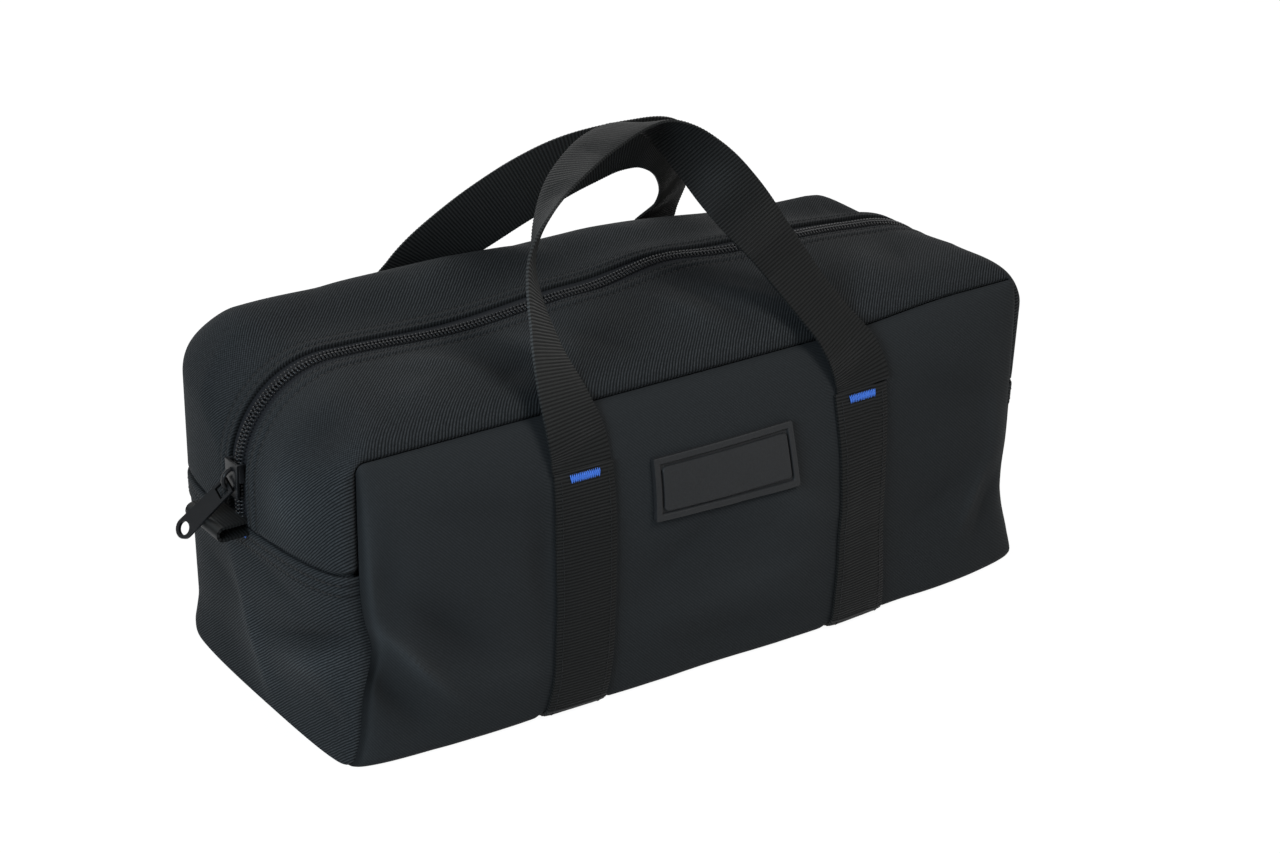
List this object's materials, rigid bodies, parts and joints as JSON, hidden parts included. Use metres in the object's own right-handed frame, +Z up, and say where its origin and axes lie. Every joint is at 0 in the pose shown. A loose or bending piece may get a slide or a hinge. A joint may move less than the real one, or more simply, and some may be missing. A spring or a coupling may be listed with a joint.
{
  "type": "utility tote bag",
  "caption": "Boxy zipped cloth tote bag with webbing straps and carrying loops, coil zipper along the top and down the ends, folded end tabs and a moulded rubber patch.",
  "frame": {"origin": "middle of the flat base, on the floor", "axes": "+X along the bag, -X is the end with the closed slider; -Y is the front with the patch; +Z up"},
  "size_m": [0.3633, 0.1634, 0.2089],
  "materials": {
    "cloth": "matt dark grey twill",
    "webbing": "ribbed black webbing",
    "zip_tape": "fine woven tape",
    "zip_coil": "black coil",
    "blue_thread": "blue sewing thread",
    "rubber": "satin dark grey",
    "black_metal": "black gloss enamel",
    "binding": "dark binding tape"
  },
  "bodies": {
    "bag_body": {"body_panel": "cloth", "left_end_upper_front": "cloth", "left_end_upper_rear": "cloth", "right_end_upper_front": "cloth", "right_end_upper_rear": "cloth", "left_end_panel": "cloth", "right_end_panel": "cloth", "front_zip_tape_left_end": "zip_tape", "front_zip_tape_right_end": "zip_tape", "rear_zip_tape_left_end": "zip_tape", "rear_zip_tape_right_end": "zip_tape", "front_zip_coil_left_end": "zip_coil", "front_zip_coil_right_end": "zip_coil", "rear_zip_coil_left_end": "zip_coil", "rear_zip_coil_right_end": "zip_coil", "left_strap": "webbing", "right_strap": "webbing", "front_left_bartack": "blue_thread", "front_right_bartack": "blue_thread", "rear_left_bartack": "blue_thread", "rear_right_bartack": "blue_thread", "left_end_tab": "webbing", "right_end_tab": "webbing", "left_tab_bartack": "blue_thread", "right_tab_bartack": "blue_thread", "rubber_patch": "rubber", "front_seam_binding": "binding", "rear_seam_binding": "binding"},
    "front_flap": {"front_top_flap": "cloth", "front_zip_tape_top": "zip_tape", "front_zip_coil_top": "zip_coil"},
    "rear_flap": {"rear_top_flap": "cloth", "rear_zip_tape_top": "zip_tape", "rear_zip_coil_top": "zip_coil"},
    "front_handle": {"front_handle": "webbing"},
    "rear_handle": {"rear_handle": "webbing"},
    "zip_slider": {"zip_slider": "black_metal"},
    "pull_tab": {"pull_tab": "black_metal"}
  },
  "joints": [
    {"name": "front_flap_fold", "type": "hinge", "parent": "bag_body", "child": "front_flap", "pos_m": [0, -0.0628, 0.122], "axis": [1, 0, 0], "range_deg": [-80, 0]},
    {"name": "rear_flap_fold", "type": "hinge", "parent": "bag_body", "child": "rear_flap", "pos_m": [0, 0.0628, 0.122], "axis": [-1, 0, 0], "range_deg": [-80, 0]},
    {"name": "front_handle_swing", "type": "hinge", "parent": "bag_body", "child": "front_handle", "pos_m": [0, -0.07735, 0.10171], "axis": [1, 0, 0], "range_deg": [0, 150]},
    {"name": "rear_handle_swing", "type": "hinge", "parent": "bag_body", "child": "rear_handle", "pos_m": [0, 0.07735, 0.10171], "axis": [-1, 0, 0], "range_deg": [0, 150]},
    {"name": "slider_run", "type": "hinge", "parent": "bag_body", "child": "zip_slider", "pos_m": [-0.125, 0, 0.095], "axis": [0, 1, 0], "range_deg": [0, 80]},
    {"name": "pull_tab_lift", "type": "hinge", "parent": "zip_slider", "child": "pull_tab", "pos_m": [-0.1697, 0, 0.0931], "axis": [0, 0.866, 0.5], "range_deg": [0, 80]}
  ]
}
